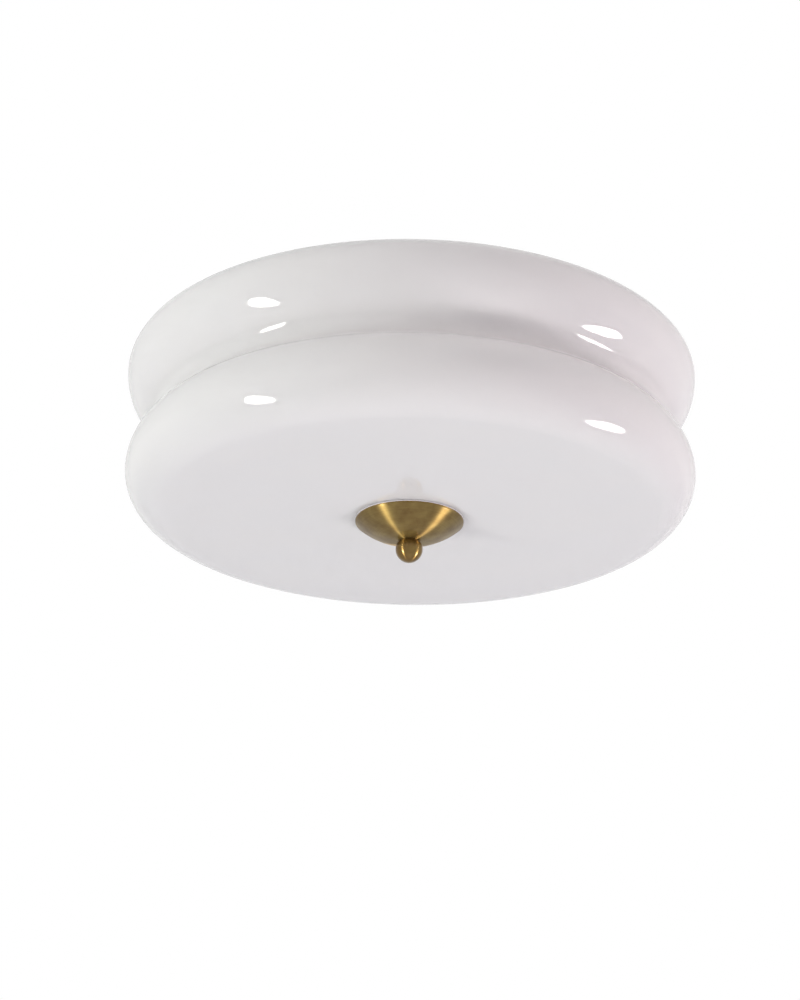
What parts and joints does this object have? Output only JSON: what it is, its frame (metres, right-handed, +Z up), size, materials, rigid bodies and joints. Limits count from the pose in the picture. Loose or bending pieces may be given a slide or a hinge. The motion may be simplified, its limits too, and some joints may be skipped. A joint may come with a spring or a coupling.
{
  "type": "ceiling light",
  "caption": "Flush ceiling light with a two-tier opal glass shade held to a steel pan by a centre rod, a brass cap and a ball knob",
  "frame": {"origin": "middle of the face that lies on the ceiling, at the middle of the mounting bar", "axes": "+Z up into the ceiling, the light hangs below zero; +X along the mounting bar; -Y the side nearest the viewer of the picture"},
  "size_m": [0.4039, 0.404, 0.1592],
  "materials": {
    "white_enamel": "gloss",
    "foam": "matte",
    "zinc_steel": "satin",
    "brass": "satin",
    "opal_glass": "gloss",
    "porcelain": "gloss",
    "nylon": "matte",
    "silicone": "satin",
    "black_rubber": "matte",
    "bulb_glass": "satin",
    "aluminium": "satin",
    "black_glass": "gloss",
    "solder": "satin",
    "brown_insulation": "satin",
    "blue_insulation": "satin",
    "green_insulation": "satin"
  },
  "bodies": {
    "mount": {"ceiling_pan": "white_enamel", "pan_gasket": "foam", "mounting_bar": "zinc_steel", "bar_studs": "zinc_steel", "stud_nuts": "zinc_steel", "centre_rod": "zinc_steel", "rod_nuts": "zinc_steel", "rod_washers": "zinc_steel", "bracket_1": "zinc_steel", "bracket_2": "zinc_steel", "bracket_3": "zinc_steel", "bracket_rivets": "zinc_steel", "holder_screws": "zinc_steel", "lampholder_1": "porcelain", "lampholder_2": "porcelain", "lampholder_3": "porcelain", "holder_sleeve_1": "brass", "holder_sleeve_2": "brass", "holder_sleeve_3": "brass", "holder_contact_1": "brass", "holder_contact_2": "brass", "holder_contact_3": "brass", "terminal_block": "nylon", "terminal_tubes": "brass", "terminal_screws": "zinc_steel", "block_screws": "zinc_steel", "earth_screw": "zinc_steel", "earth_nut": "zinc_steel", "earth_tag": "zinc_steel", "cable_grommet": "black_rubber", "live_wires": "brown_insulation", "neutral_wires": "blue_insulation", "earth_wire": "green_insulation"},
    "glass": {"shade": "opal_glass", "shade_bush": "nylon"},
    "cap": {"finial_cap": "brass", "cap_seal": "silicone"},
    "knob": {"finial_knob": "brass"},
    "lamp_1_base": {"bulb_insulator_1": "black_glass", "bulb_contact_1": "solder"},
    "lamp_1": {"bulb_1": "bulb_glass", "bulb_cap_1": "aluminium"},
    "lamp_2_base": {"bulb_insulator_2": "black_glass", "bulb_contact_2": "solder"},
    "lamp_2": {"bulb_2": "bulb_glass", "bulb_cap_2": "aluminium"},
    "lamp_3_base": {"bulb_insulator_3": "black_glass", "bulb_contact_3": "solder"},
    "lamp_3": {"bulb_3": "bulb_glass", "bulb_cap_3": "aluminium"}
  },
  "joints": [
    {"name": "shade_drop", "type": "slide", "parent": "mount", "child": "glass", "axis": [0, 0, -1], "range_m": [0, 0.15]},
    {"name": "finial_travel", "type": "slide", "parent": "glass", "child": "cap", "axis": [0, 0, -1], "range_m": [0, 0.012]},
    {"name": "finial_turn", "type": "hinge", "parent": "cap", "child": "knob", "pos_m": [0, 0, 0], "axis": [0, 0, -1], "range_deg": [0, 4330]},
    {"name": "lamp_1_travel", "type": "slide", "parent": "mount", "child": "lamp_1_base", "axis": [0, 1, 0], "range_m": [0, 0.0181]},
    {"name": "lamp_1_turn", "type": "hinge", "parent": "lamp_1_base", "child": "lamp_1", "pos_m": [0, 0, -0.0724], "axis": [0, 1, 0], "range_deg": [0, 1800]},
    {"name": "lamp_2_travel", "type": "slide", "parent": "mount", "child": "lamp_2_base", "axis": [-0.866, -0.5, 0], "range_m": [0, 0.0181]},
    {"name": "lamp_2_turn", "type": "hinge", "parent": "lamp_2_base", "child": "lamp_2", "pos_m": [0, 0, -0.0724], "axis": [-0.866, -0.5, 0], "range_deg": [0, 1800]},
    {"name": "lamp_3_travel", "type": "slide", "parent": "mount", "child": "lamp_3_base", "axis": [0.866, -0.5, 0], "range_m": [0, 0.0181]},
    {"name": "lamp_3_turn", "type": "hinge", "parent": "lamp_3_base", "child": "lamp_3", "pos_m": [0, 0, -0.0724], "axis": [0.866, -0.5, 0], "range_deg": [0, 1800]}
  ],
  "couplings": [
    {"joint": "finial_turn", "follows": "finial_travel", "rad_per_m": 6283.2},
    {"joint": "lamp_1_travel", "follows": "lamp_1_turn", "m_per_rad": 0.00057296},
    {"joint": "lamp_2_travel", "follows": "lamp_2_turn", "m_per_rad": 0.00057296},
    {"joint": "lamp_3_travel", "follows": "lamp_3_turn", "m_per_rad": 0.00057296}
  ]
}
